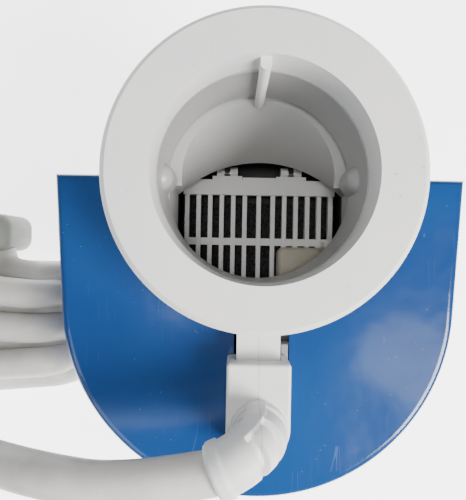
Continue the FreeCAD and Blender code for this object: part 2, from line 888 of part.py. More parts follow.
volute_front = "-volute_back - volute_deep"
tangent_height = "outlet_height"
volute_outlet = rod(
    "volute_outlet",
    "x",
    "outlet_round",
    ("0", "volute_round + 4"),
    y="-volute_back - volute_deep / 2",
    z=tangent_height,
)
volute_bore = rod(
    "volute_outlet_bore",
    "x",
    "outlet_round - outlet_wall",
    ("2", "volute_round + 5"),
    y="-volute_back - volute_deep / 2",
    z=tangent_height,
)
node(
    "pump_volute",
    cut(
        "volute_cut",
        fuse(
            "volute_body",
            rod("volute_disc", "y", "volute_round", (volute_front, "-volute_back"), z="pump_height"),
            volute_outlet,
        ),
        rod(
            "volute_room",
            "y",
            "volute_round - volute_wall",
            (f"{volute_front} - 1", "-volute_back - volute_wall"),
            z="pump_height",
        ),
        rod(
            "volute_eye",
            "y",
            "port",
            ("-volute_back - volute_wall - 1", "-volute_back + 1"),
            z="pump_height",
        ),
        volute_bore,
    ),
)
cover_front = f"{volute_front} - cover_thick"
node(
    "volute_cover",
    ring("cover", "y", "volute_round", "eye", (cover_front, volute_front), z="pump_height"),
)
node(
    "shaft_seal",
    ring(
        "seal",
        "y",
        "eye - 0.02",
        "shaft + 0.05",
        (f"{cover_front} + 0.2", f"{volute_front} - 0.2"),
        z="pump_height",
    ),
)

# ---------------------------------------------------------------- impeller, shaft and motor
impeller_back = "-volute_back - volute_wall - 0.8"
disc = rod(
    "impeller_disc",
    "y",
    "impeller_round",
    (f"{volute_front} + 0.8", f"{volute_front} + 2.2"),
    z="pump_height",
)
hub = rod("impeller_hub", "y", "3", (f"{volute_front} + 0.8", impeller_back), z="pump_height")
vanes = []
for i in range(6):
    vane = doc.addObject("Part::Box", f"vane_{i}")
    turn = FreeCAD.Rotation(V(0, 1, 0), 60 * i)
    offset = turn.multVec(V(2.2, 0, -0.6))
    vane.Placement.Rotation = turn
    bind(
        vane,
        Length="impeller_round - 2.6",
        Width="volute_deep - volute_wall - 2.4",
        Height="1.2",
        Placement__Base__x=f"{offset.x:.4f}",
        Placement__Base__y=f"{volute_front} + 1.6",
        Placement__Base__z=f"pump_height + ({offset.z:.4f})",
    )
    vanes.append(vane)
node(
    "impeller",
    cut(
        "impeller_cut",
        fuse("impeller_body", disc, hub, *vanes),
        rod("impeller_bore", "y", "shaft", ("-80", "-40"), z="pump_height"),
    ),
)
motor_front = f"{cover_front} - motor_long"
node(
    "motor_shaft",
    rod("shaft_body", "y", "shaft", (f"{motor_front} + 1.5", impeller_back), z="pump_height"),
)
node(
    "motor_can",
    cut(
        "can_cut",
        rod("can_body", "y", "motor_round", (motor_front, cover_front), z="pump_height"),
        rod(
            "can_room",
            "y",
            "motor_round - motor_wall",
            (f"{motor_front} + motor_wall", f"{cover_front} + 1"),
            z="pump_height",
        ),
    ),
)
stator_span = (f"{motor_front} + 5", f"{motor_front} + 5 + stator_long")
node(
    "stator_core",
    ring(
        "stator",
        "y",
        "motor_round - motor_wall - 0.05",
        "stator_bore + 2.6",
        stator_span,
        z="pump_height",
    ),
)
coils = []
for i in range(6):
    coil = doc.addObject("Part::Cylinder", f"coil_{i}")
    angle = math.radians(60 * i + 30)
    coil.Placement.Rotation = TURNS["y"]
    reach = "(stator_bore + 1.35)"
    bind(
        coil,
        Radius="1.2",
        Height="stator_long + 2",
        Placement__Base__x=f"{math.cos(angle):.5f} * {reach}",
        Placement__Base__y=f"{motor_front} + 4",
        Placement__Base__z=f"pump_height + {math.sin(angle):.5f} * {reach}",
    )
    coils.append(coil)
node("stator_coils", fuse("coil_group", *coils))
node("rotor_magnet", ring("rotor", "y", "rotor_round", "shaft", stator_span, z="pump_height"))
node(
    "rear_bearing",
    ring(
        "bearing_rear",
        "y",
        "6",
        "shaft + 0.05",
        (f"{cover_front} - 2.6", f"{cover_front} - 0.1"),
        z="pump_height",
    ),
)
node(
    "front_bearing",
    ring(
        "bearing_front",
        "y",
        "6",
        "shaft + 0.05",
        (f"{motor_front} + motor_wall", f"{motor_front} + motor_wall + 2.4"),
        z="pump_height",
    ),
)
node(
    "motor_cradle",
    cut(
        "cradle_cut",
        box(
            "cradle_block",
            ("-motor_round", "motor_round"),
            (f"{motor_front} + 4", f"{cover_front} - 4"),
            (base_top, "pump_height - 6"),
        ),
        rod("cradle_seat", "y", "motor_round", ("-90", "-40"), z="pump_height"),
    ),
)

# ---------------------------------------------------------------- outlet pipe and hose spigot
def bent_pipe(name, radius):
    """The outlet's route: out of the volute to the right, round one bend, and back to the flat wall."""
    y = size("-volute_back - volute_deep / 2")
    z = size("outlet_height")
    bend = size("outlet_bend")
    corner = V(size("outlet_x"), y, z)
    start = V(size("volute_round + 4"), y, z)
    end = V(corner.x, size("house_flat"), z)
    first = corner - V(bend, 0, 0)
    last = corner + V(0, bend, 0)
    lean = bend * (1 - math.sqrt(0.5))
    middle = corner + V(-lean, lean, 0)
    path = Part.Wire(
        [
            Part.LineSegment(start, first).toShape(),
            Part.Arc(first, middle, last).toShape(),
            Part.LineSegment(last, end).toShape(),
        ]
    )
    section = Part.Wire(Part.Circle(start, V(1, 0, 0), radius).toShape())
    return path.makePipeShell([section], True, False)


outlet = doc.addObject("Part::Feature", "outlet")
outlet.Shape = bent_pipe("outer", size("outlet_round")).cut(
    bent_pipe("inner", size("outlet_round - outlet_wall"))
)
node("outlet_pipe", outlet)
node(
    "hose_spigot",
    cut(
        "spigot_cut",
        fuse(
            "spigot_body",
            rod(
                "spigot_tube",
                "y",
                "spigot_round",
                ("house_flat + 0.1", "house_flat + spigot_long"),
                x="outlet_x",
                z="outlet_height",
            ),
            rod(
                "spigot_disc",
                "y",
                "spigot_flange",
                ("house_flat + 0.1", "house_flat + 0.1 + flange_thick"),
                x="outlet_x",
                z="outlet_height",
            ),
        ),
        rod(
            "spigot_bore",
            "y",
            "outlet_round - outlet_wall",
            ("0", "house_flat + spigot_long + 1"),
            x="outlet_x",
            z="outlet_height",
        ),
    ),
)

# ---------------------------------------------------------------- power socket, latch and plug
foot_of_socket = box(
    "socket_foot",
    ("-socket_half", "socket_half"),
    ("-43.5", "-30.4"),
    ("roof_under + sump_wall + 0.3", "socket_top"),
)
arm_of_socket = box(
    "socket_arm",
    ("-socket_half", "socket_half"),
    ("-socket_front", "-43"),
    ("socket_under", "socket_top"),
)
pin_height = "(socket_under + socket_top) / 2"
PIN_X = ("-3.2", "0", "3.2")
node(
    "power_socket",
    cut(
        "socket_cut",
        fuse("socket_body", foot_of_socket, arm_of_socket),
        *[
            rod(
                f"pin_seat_{i}",
                "y",
                "pin_round",
                ("-socket_front - 1", "-socket_front + 6"),
                x=x,
                z=pin_height,
            )
            for i, x in enumerate(PIN_X)
        ],
    ),
)
node(
    "socket_pins",
    fuse(
        "pin_group",
        *[
            rod(
                f"pin_{i}",
                "y",
                "pin_round",
                ("-socket_front - pin_long", "-socket_front + 6"),
                x=x,
                z=pin_height,
            )
            for i, x in enumerate(PIN_X)
        ],
    ),
)
latch_x = ("socket_half + 0.9", "slot_right - slip")
latch_y = ("-slot_front + 0.6", "-44.4")
shelf_top = "house_top - 12"
node(
    "release_latch",
    fuse(
        "latch_body",
        box("latch_key", latch_x, latch_y, ("house_top - 5", "house_top")),
        box(
            "latch_flange",
            ("socket_half - 0.7", "slot_right + 1.5"),
            latch_y,
            ("house_top - 5", "house_top - house_wall - 0.1"),
        ),
    ),
)
node(
    "latch_shelf",
    fuse(
        "shelf_body",
        box(
            "shelf_plate",
            ("socket_half - 0.7", "slot_right + 1.5"),
            ("-slot_front + 0.6", "-sump_front - sump_wall"),
            (f"{shelf_top} - 2", shelf_top),
        ),
        box(
            "shelf_rib",
            ("socket_half + 0.5", "slot_right"),
            ("-slot_front + 6", "-sump_front - sump_wall"),
            (f"{shelf_top} - 8", f"{shelf_top} - 1"),
        ),
    ),
)
latch_middle = {"x": "(socket_half + slot_right) / 2 + 0.4", "y": "-50.5"}
node("latch_spring", ring("spring", "z", "1.8", "1.3", (shelf_top, "house_top - 5"), **latch_middle))
plug_block = box(
    "plug_block",
    ("-plug_half", "plug_half"),
    ("-plug_front", "-plug_back"),
    ("plug_under", "plug_top"),
)
doc.recompute()
plug_round = doc.addObject("Part::Fillet", "plug_rounding")
plug_round.Base = plug_block
plug_edges = []
for i, edge in enumerate(plug_block.Shape.Edges, start=1):
    middle = edge.CenterOfMass
    upright = edge.BoundBox.ZLength > 1
    if upright and middle.y < size("-plug_back") - 1:
        corner = size("plug_corner") if middle.x > 0 else size("plug_corner_left")
        plug_edges.append((i, corner, corner))
    elif upright or middle.z > size("plug_under") + 1:
        plug_edges.append((i, 0.9, 0.9))
plug_round.Edges = plug_edges
cavity = box(
    "plug_cavity",
    ("-socket_half - slip", "socket_half + slip"),
    ("-socket_front - slip", "-plug_back + 1"),
    ("socket_under - slip", "socket_top + slip"),
)
sleeve_seats = [
    rod(
        f"sleeve_seat_{i}",
        "y",
        "pin_round + 0.6",
        ("-socket_front - pin_long - 1", "-socket_front"),
        x=x,
        z=pin_height,
    )
    for i, x in enumerate(PIN_X)
]
node("plug_cap", cut("plug_cut", plug_round, cavity, *sleeve_seats))
sleeves = [
    ring(
        f"sleeve_{i}",
        "y",
        "pin_round + 0.6",
        "pin_round + 0.1",
        ("-socket_front - pin_long - 1", "-socket_front - slip"),
        x=x,
        z=pin_height,
    )
    for i, x in enumerate(PIN_X)
]
node("plug_contacts", fuse("sleeve_group", *sleeves))


def relief_frame():
    """The bend relief's centre line: its root, its bend's centre, and the way the lead leaves."""
    turn = math.radians(dims["relief_turn"])
    away = V(-math.cos(turn), -math.sin(turn), 0)
    root = V(0, size("-relief_y"), size("plug_top"))
    start = root + V(0, 0, size("relief_stub"))
    return root, start, away


relief_root, relief_start, lead_way = relief_frame()
bend = size("relief_bend")
bend_end = relief_start + lead_way * bend + V(0, 0, bend)
lead_exit = bend_end + lead_way * size("relief_sleeve")
lean = bend * (1 - math.sqrt(0.5))
bend_middle = relief_start + lead_way * lean + V(0, 0, bend * math.sqrt(0.5))
relief_path = Part.Wire(
    [
        Part.LineSegment(relief_root, relief_start).toShape(),
        Part.Arc(relief_start, bend_middle, bend_end).toShape(),
        Part.LineSegment(bend_end, lead_exit).toShape(),
    ]
)
relief_section = Part.Wire(Part.Circle(relief_root, V(0, 0, 1), size("relief_round")).toShape())
relief = relief_path.makePipeShell([relief_section], True, False)
first_rib = Part.makeCylinder(size("relief_rib"), size("relief_stub"), relief_root, V(0, 0, 1))
bend_relief = doc.addObject("Part::Feature", "relief")
bend_relief.Shape = relief.fuse(first_rib).removeSplitter()
node("bend_relief", bend_relief)

# ---------------------------------------------------------------- mains lead, its hank and its plug
lead_r = size("lead_round")
LEAD_OUT = [
    lead_exit,
    V(-31, -72.5, 83.5),
    V(-51, -71.3, 80.5),
    V(-73, -71.8, 69.5),
    V(-97, -73.5, 54.5),
    V(-122, -77, 42),
    V(-146, -81, 31),
    V(-168, -82, 25.5),
]
LEAD_TAIL = [V(-78, -29, 19), V(-88, -28.5, 15), V(-95.5, -25.5, 11.5), V(-97, -15, 10)]


def arc_corner(before, corner, after):
    """An arc at a corner: where it leaves one run, its middle, where it joins the next, and its radius."""
    a, b = before - corner, after - corner
    short = min(a.Length, b.Length)
    a.normalize()
    b.normalize()
    reach = 0.45 * short
    turn = math.pi - a.getAngle(b)
    radius = reach / math.tan(turn / 2)
    inward = a + b
    inward.normalize()
    depth = radius / math.cos(turn / 2) - radius
    return corner + a * reach, corner + inward * depth, corner + b * reach, radius


def cord_tube(points, radius):
    """Straight runs joined by tangent arcs, and their smallest radius."""
    edges, radii, here = [], [], points[0]
    for before, corner, after in zip(points, points[1:], points[2:]):
        start, middle, end, bend_radius = arc_corner(before, corner, after)
        edges += [Part.LineSegment(here, start).toShape(), Part.Arc(start, middle, end).toShape()]
        radii.append(bend_radius)
        here = end
    edges.append(Part.LineSegment(here, points[-1]).toShape())
    path = Part.Wire(edges)
    section = Part.Wire(Part.Circle(points[0], points[1] - points[0], radius).toShape())
    solid = path.makePipeShell([section], True, False)
    print(f"lead run: length {path.Length:.0f}, arc radii {[round(r) for r in radii]}")
    print(
        f"  volume {solid.Volume:.0f} for a section times length of {math.pi * radius**2 * path.Length:.0f}"
    )
    return solid


lead = doc.addObject("Part::Feature", "lead")
lead.Shape = cord_tube(LEAD_OUT, lead_r)
node("mains_lead", lead)
tail = doc.addObject("Part::Feature", "tail")
tail.Shape = cord_tube(LEAD_TAIL, lead_r)
node("lead_tail", tail)


hank_block = box(
    "hank_block",
    ("-hank_left", "-hank_right"),
    ("-hank_front", "-hank_back"),
    ("0", "hank_tall"),
)
node("lead_hank", rounded_block("hank_rounding", hank_block, 22, 8))
plug_low = "0.1"
mains_block = box(
    "mains_block",
    ("-mains_rear - mains_long", "-mains_rear"),
    ("-20.6", "-6.7"),
    (plug_low, "mains_tall"),
)
node("mains_plug", rounded_block("mains_rounding", mains_block, 5, 4))
pin_end = "-mains_rear - mains_long"
node(
    "mains_pins",
    fuse(
        "mains_pin_group",
        *[
            rod(
                f"mains_pin_{i}",
                "x",
                "mains_pin",
                (f"{pin_end} - mains_pin_long", pin_end),
                y="-13.65",
                z=z,
            )
            for i, z in enumerate(("3.7", "16.4"))
        ],
    ),
)

# ---------------------------------------------------------------- write the parts
doc.recompute()
os.makedirs("parts", exist_ok=True)
for old in os.listdir("parts"):
    os.remove(os.path.join("parts", old))
for item in doc.Objects:
    if "Invalid" in item.State or "Error" in item.State:
        raise SystemExit(f"{item.Label} did not build: {item.State}")
for item in NODES:
    if item.Shape.isNull() or not item.Shape.isValid():
        raise SystemExit(f"{item.Label} has no valid shape")
    item.Shape.exportStep(os.path.join("parts", item.Label + ".step"))
    print(f"{item.Label}: {len(item.Shape.Solids)} solid(s), {item.Shape.Volume / 1000:.2f} cm3")
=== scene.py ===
# %% [markdown]
# # Pump water filter, seen from above
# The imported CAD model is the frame: every solid keeps its place and its shape here. This script gives
# the solids their materials, softens their edges, and adds what is soft or finely moulded: the lead with
# its hank, the ribbed bend relief and the glue bead in the tube. The frame is in metres; points written out
# below are in millimetres and are scaled when a piece is made. +Z is up, and +Y points to the flat back.

# %% Load the frame
import json
import math

import bpy
import numpy as np
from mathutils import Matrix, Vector


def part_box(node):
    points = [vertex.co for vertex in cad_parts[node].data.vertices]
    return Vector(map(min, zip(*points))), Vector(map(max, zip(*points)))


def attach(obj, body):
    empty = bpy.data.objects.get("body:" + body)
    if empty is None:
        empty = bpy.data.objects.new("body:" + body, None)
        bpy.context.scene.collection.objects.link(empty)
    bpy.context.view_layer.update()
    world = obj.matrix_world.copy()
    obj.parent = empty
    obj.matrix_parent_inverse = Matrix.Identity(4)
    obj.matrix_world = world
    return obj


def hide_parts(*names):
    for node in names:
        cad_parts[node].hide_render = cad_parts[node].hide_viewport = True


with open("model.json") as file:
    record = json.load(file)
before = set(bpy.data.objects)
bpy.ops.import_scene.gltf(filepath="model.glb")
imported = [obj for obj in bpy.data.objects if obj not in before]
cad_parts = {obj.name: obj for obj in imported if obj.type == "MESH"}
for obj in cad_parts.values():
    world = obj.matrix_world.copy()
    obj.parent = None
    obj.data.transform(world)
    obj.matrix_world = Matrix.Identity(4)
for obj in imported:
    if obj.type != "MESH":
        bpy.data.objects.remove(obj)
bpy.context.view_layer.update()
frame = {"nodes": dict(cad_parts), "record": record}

MM = 0.001
nodes = frame["nodes"]
ring_top = np.array(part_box("collar_ring")[1])[2]
house_top = np.array(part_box("blue_housing")[1])[2]
plug_top = np.array(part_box("plug_cap")[1])[2]
print("tops: ring", ring_top, "housing", house_top, "plug", plug_top)
print(f"{len(nodes)} nodes, and the collar's top is {ring_top * 1000:.1f} mm up")

# %% [markdown]
# ## The camera
# It hangs above the object and looks straight down, a little in front of the collar, and it is turned
# by one degree. A short distance and a wide lens show the tube's inner wall all round.

# %% Camera
camera_data = bpy.data.cameras.new("camera")
camera_data.lens = 32.4
camera_data.sensor_width = 36
camera_data.clip_start = 0.005
camera = bpy.data.objects.new("camera", camera_data)
camera.location = (-7.1 * MM, -18.7 * MM, 184 * MM)
camera.rotation_euler = (0, 0, math.radians(1.0))
bpy.context.scene.collection.objects.link(camera)
bpy.context.scene.camera = camera
print("camera at", tuple(round(c, 4) for c in camera.location))

# %% [markdown]
# ## The lead
# One smooth spline carries the whole lead: out of the bend relief, down over the housing's side, and into
# a loose hank that lies on the floor. The first points are the route; the hank's strands and its folds are
# worked out by a loop. Each turn goes down at the left end, back along the floor, up at the right end
# beside the housing, and over the top; every other turn lies a little higher, so the turns can be gathered
# closer than the lead is thick.

# %% The lead's route
LEAD_DIAMETER = 10 * MM
RELIEF_STUB, RELIEF_BEND, RELIEF_SLEEVE = 3.0, 9.0, 2.7
RELIEF_TURN = math.radians(26)
UP = np.array([0, 0, 1.0])
away = np.array([-math.cos(RELIEF_TURN), -math.sin(RELIEF_TURN), 0.0])
relief_root = np.array([0.0, -63.6, 71.0])
lead_exit = relief_root + UP * (RELIEF_STUB + RELIEF_BEND) + away * (RELIEF_BEND + RELIEF_SLEEVE)
LEAD_OUT = [
    tuple(lead_exit),
    (-31, -72.5, 83.5),
    (-51, -71.3, 80.5),
    (-73, -71.8, 69.5),
    (-97, -73.5, 54.5),
    (-122, -77, 42),
    (-146, -81, 31),
    (-168, -82, 25.5),
]
LEAD_TAIL = [(-78, -29, 19), (-88, -28.5, 15), (-95.5, -25.5, 11.5), (-97, -15, 10)]
print("the lead leaves the relief at", [round(float(c), 1) for c in lead_exit])

# %% [markdown]
# ## The hank's turns
# Heights at each end are pairs, which alternate from turn to turn. A `fold` is a half circle standing
# on edge, `x = x_end + r * sin(a)` and `z = middle + r * cos(a)`; a `strand` is nearly straight between two
# folds, with a small bow of `sin(pi * share)`.

# %% The hank's turns
TURNS = 7
LEFT_END, RIGHT_END = -179, -76
UPPER_LEFT, LOWER_LEFT = (23.4, 26.6), (5.2, 8.4)
UPPER_RIGHT, LOWER_RIGHT = (22.4, 30.6), (5.2, 13.4)


def left_y(turn):
    """Where a turn lies across the hank at its left end."""
    return -82.5 + 9.4 * turn


def right_y(turn):
    """The same at the right end, where the turns are gathered."""
    return -64 + 5.8 * (turn - 1)


def fold(x_end, side, y_from, y_to, z_from, z_to):
    """A half circle standing on edge, from one height to the other: side is +1 at the right end."""
    radius = abs(z_to - z_from) / 2
    points = []
    for angle in np.radians([0, 32, 64, 90, 116, 148, 180]):
        share = angle / math.pi
        x = x_end + side * radius * 1.05 * math.sin(angle)
        z = (z_from + z_to) / 2 + (z_from - z_to) / 2 * math.cos(angle)
        points.append((x, y_from + (y_to - y_from) * share, z))
    return points


def strand(x_from, x_to, y_from, y_to, z_from, z_to, bow):
    """The middle points of a strand, pushed a little aside so that no strand is quite straight."""
    points = []
    for share in (0.05, 0.36, 0.7, 0.95):
        x = x_from + (x_to - x_from) * share
        y = y_from + (y_to - y_from) * share + bow * math.sin(math.pi * share)
        points.append((x, y, z_from + (z_to - z_from) * share))
    return points


def hank_route():
    """Every turn of the hank: down at the left end, back along the floor, up at the right end, and over."""
    points = []
    for turn in range(TURNS):
        this, following = (turn + 1) % 2, turn % 2
        x_left = LEFT_END + 2.5 * math.sin(2.3 * turn)
        x_right = RIGHT_END + 1.2 * math.sin(1.7 * turn + 1) + (4 if turn == TURNS - 1 else 0)
        bow = 1.3 * math.sin(1.9 * turn)
        y_low, y_high = left_y(turn), right_y(turn + 1)
        points += fold(x_left, -1, y_low, y_low + 1, UPPER_LEFT[this], LOWER_LEFT[this])
        points += strand(x_left, x_right, y_low + 1, y_high, LOWER_LEFT[this], LOWER_RIGHT[following], bow)
        points += fold(x_right, 1, y_high, y_high, LOWER_RIGHT[following], UPPER_RIGHT[following])
        if turn < TURNS - 1:
            z_from, z_to = UPPER_RIGHT[following], UPPER_LEFT[following]
            points += strand(x_right, LEFT_END, y_high, left_y(turn + 1), z_from, z_to, -bow)
    return points


print(len(hank_route()), "points for", TURNS, "turns")

# %% [markdown]
# ## The spline
# Its bevel is 1 m, and each point's radius scales that to the lead's own 5 mm, so that the piece's bounds
# grow by 5 mm too.

# %% The lead
def curve_piece(name, points, radius):
    """A round tube along one smooth NURBS spline."""
    data = bpy.data.curves.new(name, "CURVE")
    data.dimensions = "3D"
    data.bevel_depth = 1.0
    data.bevel_resolution = 6
    data.resolution_u = 10
    data.use_fill_caps = True
    spline = data.splines.new("NURBS")
    spline.points.add(len(points) - 1)
    for target, point in zip(spline.points, points):
        target.co = (*[c * MM for c in point], 1)
        target.radius = radius
    spline.order_u = 3
    spline.use_endpoint_u = True
    piece = bpy.data.objects.new(name, data)
    bpy.context.scene.collection.objects.link(piece)
    return piece


def spline_points(piece):
    """The points that a piece's spline runs through, read from Blender's own curve."""
    bare = piece.copy()
    bare.data = piece.data.copy()
    bare.data.bevel_depth = 0
    mesh = bpy.data.meshes.new_from_object(bare)
    found = np.array([v.co[:] for v in mesh.vertices])
    bpy.data.objects.remove(bare)
    return found


route = LEAD_OUT + hank_route() + LEAD_TAIL
lead = curve_piece("lead", route, LEAD_DIAMETER / 2)
line = spline_points(lead)
steps = np.diff(line, axis=0)
lengths = np.linalg.norm(steps, axis=1)
turns = np.arccos(np.clip((steps[1:] * steps[:-1]).sum(1) / (lengths[1:] * lengths[:-1]), -1, 1))
radii = (lengths[1:] + lengths[:-1]) / 2 / np.maximum(turns, 1e-6)
worst = int(np.argmin(radii))
print("tightest bend at", [round(float(c) * 1000) for c in line[worst + 1]])
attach(lead, "lead")
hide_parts("mains_lead", "lead_hank", "lead_tail")

# %% [markdown]
# ## Shader sums
# A material is a small network of nodes. `Wire` wraps one socket, so that a sum of sockets is written as a
# sum: `a * 2 + b` makes the two math nodes. `shade` makes any other node, and every material below starts
# from object coordinates in metres, so a mark 0.2 mm wide is 0.0002 wide here.

# %% Shader sums
class Wire:
    """One socket of a shader, with arithmetic."""

    def __init__(self, tree, socket):
        self.tree = tree
        self.socket = socket

    def _math(self, operation, *values):
        node = self.tree.nodes.new("ShaderNodeMath")
        node.operation = operation
        for slot, value in zip(node.inputs, values):
            if isinstance(value, Wire):
                self.tree.links.new(value.socket, slot)
            else:
                slot.default_value = value
        return Wire(self.tree, node.outputs[0])

    def __add__(self, other):
        return self._math("ADD", self, other)

    def __radd__(self, other):
        return self._math("ADD", self, other)

    def __sub__(self, other):
        return self._math("SUBTRACT", self, other)

    def __rsub__(self, other):
        return self._math("SUBTRACT", other, self)

    def __mul__(self, other):
        return self._math("MULTIPLY", self, other)

    def __rmul__(self, other):
        return self._math("MULTIPLY", self, other)

    def __truediv__(self, other):
        return self._math("DIVIDE", self, other)

    def __abs__(self):
        return self._math("ABSOLUTE", self)

    def below(self, other):
        """1 where this is less than the other, and 0 elsewhere."""
        return self._math("LESS_THAN", self, other)

    def above(self, other):
        """1 where this is more than the other, and 0 elsewhere."""
        return self._math("GREATER_THAN", self, other)

    def sine(self):
        """The sine of this, in radians."""
        return self._math("SINE", self)

    def root(self):
        """The square root of this."""
        return self._math("SQRT", self)

    def ramp(self, low, high):
        """0 below low, 1 above high, and smooth between them."""
        limits = {"From Min": low, "From Max": high}
        curve = [("interpolation_type", "SMOOTHSTEP")]
        return shade(self.tree, "MapRange", "Result", curve, Value=self, **limits)


def shade(tree, kind, output=0, settings=(), **inputs):
    """Any shader node: its inputs are given by name, as values or as wires."""
    node = tree.nodes.new("ShaderNode" + kind)
    for name, value in settings:
        setattr(node, name, value)
    for name, value in inputs.items():
        slot = node.inputs[name]
        if isinstance(value, Wire):
            tree.links.new(value.socket, slot)
        else:
            slot.default_value = value
    return Wire(tree, node.outputs[output])


def noise(tree, place, scale, detail=3.0, rough=0.55, stretch=(1, 1, 1)):
    """Noise from 0 to 1 at a number of lumps per metre, stretched along the axes."""
    spread = shade(tree, "Mapping", Vector=place, Scale=stretch)
    return shade(tree, "TexNoise", "Fac", Vector=spread, Scale=scale, Detail=detail, Roughness=rough)


def mix(tree, share, first, second):
    """Two colours by a share from 0 to 1. Inputs 6 and 7, counted from 0, are the mix node's colours."""
    node = tree.nodes.new("ShaderNodeMix")
    node.data_type = "RGBA"
    tree.links.new(share.socket, node.inputs["Factor"])
    for slot, value in zip(node.inputs[6:8], (first, second)):
        if isinstance(value, Wire):
            tree.links.new(value.socket, slot)
        else:
            slot.default_value = (*value, 1)
    return Wire(tree, node.outputs[2])


def material(name, recipe):
    """A material from a recipe, which turns the tree and the object coordinates into the shader's inputs."""
    made = bpy.data.materials.new(name)
    made.use_nodes = True
    tree = made.node_tree
    shader = tree.nodes["Principled BSDF"]
    place = shade(tree, "TexCoord", "Object")
    for socket_name, value in recipe(tree, place).items():
        socket = shader.inputs[socket_name]
        if isinstance(value, Wire):
            tree.links.new(value.socket, socket)
        elif socket_name.endswith("Color"):
            socket.default_value = (*value, 1)
        else:
            socket.default_value = value
    return made


def bump(tree, height, depth):
    """A bump from a height of 0 to 1 that stands for depth in metres."""
    return shade(tree, "Bump", "Normal", Height=height, Distance=depth)


print("shader sums are ready")

# %% [markdown]
# ## White mouldings
# Moulded ABS: nearly white, slightly warm, with cloudy gloss, fine grain, a few specks of dirt, and hairline
# scratches. The collar also keeps the faint rings of its mould, and the parts from a two-part mould show
# their parting line along the middle. The tube and the chute are this same white painted darker: painted
# shade inside the collar.

# %% Marks of use
def axes(tree, place):
    """The three coordinates of a place as wires."""
    node = tree.nodes.new("ShaderNodeSeparateXYZ")
    tree.links.new(place.socket, node.inputs[0])
    return [Wire(tree, socket) for socket in node.outputs]


def specks(tree, place, density, size):
    """Small dark spots: 1 inside a spot, 0 outside."""
    cells = shade(tree, "TexVoronoi", "Distance", Vector=place, Scale=density)
    return cells.below(size)


def scratches(tree, place, seed, scale=260.0):
    """Hairlines: the thin zero line of a stretched noise, broken up by a coarse one."""
    turned = shade(tree, "Mapping", Vector=place, Rotation=(0, 0, seed), Scale=(1, 0.04, 1))
    field = shade(tree, "TexNoise", "Fac", Vector=turned, Scale=scale, Detail=0.0)
    line = abs(field - 0.5).below(0.0035)
    return line * noise(tree, place, 60.0).above(0.58)


print("the marks are ready")

# %% [markdown]
# ## The white recipe
# Two close whites are mixed by a cloud; specks and hairlines darken them. The height for the bump is the
# grain and the cloud together, with rings `sin(5200 * r)` on the collar, and a parting line near x = 0.

# %% White mouldings
def white_plastic(tone, rough, parting=False, rings=False, grain=0.00002):
    """A recipe for a white moulding of that tone."""

    def recipe(tree, place):
        x, y, z = axes(tree, place)
        cloud = noise(tree, place, 45.0, 4.0)
        fine = noise(tree, place, 2600.0, 2.0)
        dirt = specks(tree, place, 210.0, 0.055) * noise(tree, place, 35.0).above(0.55)
        marks = scratches(tree, place, 0.7) + scratches(tree, place, 2.1, 330.0)
        warm = [tone * share for share in (1.0, 0.985, 0.955)]
        cool = [tone * share * 0.955 for share in (1.0, 1.003, 0.998)]
        colour = mix(tree, cloud.ramp(0.35, 0.7), warm, cool)
        colour = mix(tree, dirt * 0.5, colour, (0.25, 0.22, 0.18))
        colour = mix(tree, marks * 0.18, colour, (0.45, 0.44, 0.42))
        height = fine * 0.4 + cloud * 0.6 - marks * 0.5
        if rings:
            radius = (x * x + y * y).root()
            height = height + (radius * 5200.0).sine() * 0.1
        if parting:
            seam = abs(x + (noise(tree, place, 150.0) - 0.5) * 0.0003).below(0.00014)
            colour = mix(tree, seam * 0.3, colour, (0.35, 0.34, 0.33))
            height = height - seam * 1.5
        return {
            "Base Color": colour,
            "Roughness": cloud * 0.12 + rough + marks * 0.2,
            "Normal": bump(tree, height, grain),
            "Specular IOR Level": 0.45,
            "Subsurface Weight": 0.06,
            "Subsurface Radius": (0.0012, 0.001, 0.0009),
        }

    return recipe


WHITE_RING = material("white collar", white_plastic(0.79, 0.34, rings=True))
# The tube is the collar's white ABS painted much darker: painted shade for the inside of the bore.
SHADED_WHITE_TUBE = material("white tube in painted shade", white_plastic(0.33, 0.26))
# The chute is the same white ABS painted darker: painted shade down in the throat.
SHADED_WHITE_CHUTE = material("white chute in painted shade", white_plastic(0.46, 0.34))
WHITE_GRATE = material("white grate", white_plastic(0.80, 0.4))
WHITE_SOCKET = material("white socket", white_plastic(0.80, 0.4, parting=True))
print("five whites")

# %% [markdown]
# ## The other materials
# The housing is glossy blue ABS with a wavy surface and wear; the float is cream and slightly yellowed; and
# rubber, foam, steel, copper and brass are inside, where a gap shows them.

# %% Blue plastic and plain finishes
def blue_plastic(tree, place):
    """Glossy blue with slow waves, fine dust and hairlines."""
    wave = noise(tree, place, 22.0, 1.0)
    slow = noise(tree, place, 75.0, 2.0)
    fine = noise(tree, place, 900.0, 2.0)
    dust = specks(tree, place, 420.0, 0.06) * noise(tree, place, 40.0).above(0.5)
    marks = scratches(tree, place, 0.3, 210.0) + scratches(tree, place, 1.4, 300.0)
    colour = mix(tree, wave.ramp(0.3, 0.7), (0.005, 0.043, 0.175), (0.008, 0.056, 0.205))
    colour = mix(tree, dust * 0.2 + marks * 0.07, colour, (0.30, 0.42, 0.60))
    return {
        "Base Color": colour,
        "Roughness": fine * 0.03 + 0.17 + marks * 0.08 + dust * 0.2,
        "Normal": bump(tree, wave * 0.9 + slow * 0.1 + fine * 0.004, 0.0022),
        "Specular IOR Level": 0.4,
        "Coat Weight": 0.2,
        "Coat Roughness": 0.1,
    }


